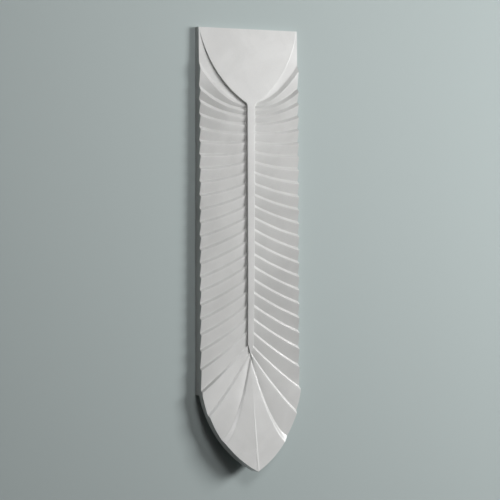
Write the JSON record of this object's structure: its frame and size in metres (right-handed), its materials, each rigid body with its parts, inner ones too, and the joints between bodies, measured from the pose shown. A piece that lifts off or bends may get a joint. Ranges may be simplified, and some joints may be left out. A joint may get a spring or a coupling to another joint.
{
  "type": "composite wall panel",
  "caption": "Feather-shaped moulded wall panel with stepped barbs beside a central shaft, a smooth lap seat at the top, a forward-curled point and a grooved back for adhesive.",
  "frame": {"origin": "centre of the bounding box's underside, with the panel lying on its flat back", "axes": "+X across the panel, +Y along it from the point to the square top edge, +Z out of the wall through the face"},
  "size_m": [0.16, 0.6, 0.0329],
  "materials": {
    "composite": "smooth matte moulded face"
  },
  "bodies": {
    "root": {"feather_panel": "composite"}
  },
  "joints": []
}
